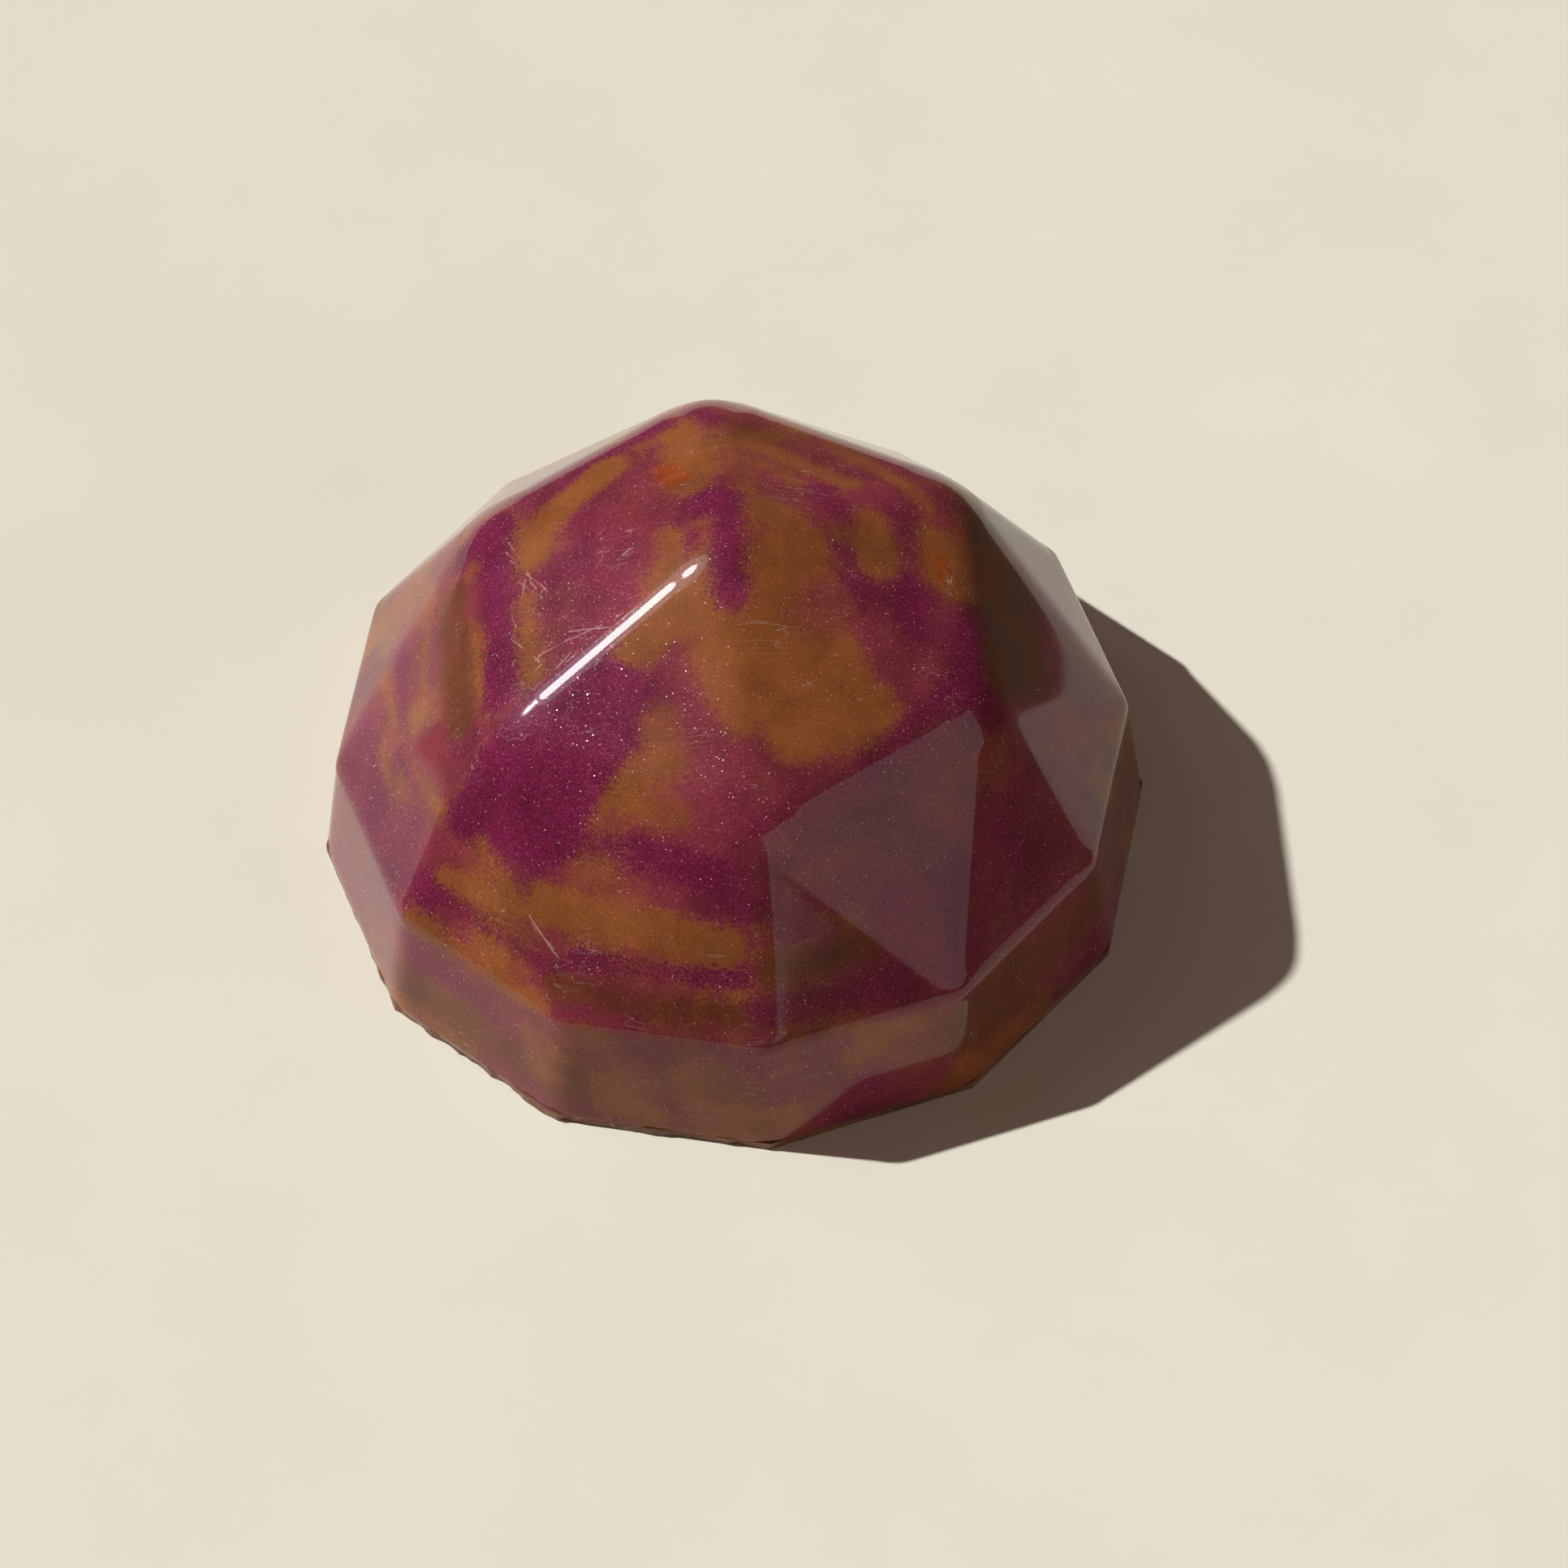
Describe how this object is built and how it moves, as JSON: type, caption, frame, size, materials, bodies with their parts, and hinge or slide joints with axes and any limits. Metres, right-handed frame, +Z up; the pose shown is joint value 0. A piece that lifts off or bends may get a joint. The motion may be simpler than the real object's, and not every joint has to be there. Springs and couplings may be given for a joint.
{
  "type": "filled chocolate bonbon",
  "caption": "Faceted dome-shaped chocolate bonbon with a glossy marbled coat over a filled shell, closed by a flat cap that it rests on.",
  "frame": {"origin": "centre of the flat underside, on the surface that the bonbon stands on", "axes": "+Z up through the apex, +X towards one corner of the twelve-sided base"},
  "size_m": [0.03, 0.03, 0.0161],
  "materials": {
    "coat": "high gloss marbled cocoa butter with fine pearl",
    "shell": "satin tempered chocolate",
    "filling": "soft satin ganache",
    "cap": "scraped satin chocolate"
  },
  "bodies": {
    "root": {"colour_coat": "coat", "chocolate_shell": "shell", "filling": "filling", "base_cap": "cap"}
  },
  "joints": []
}
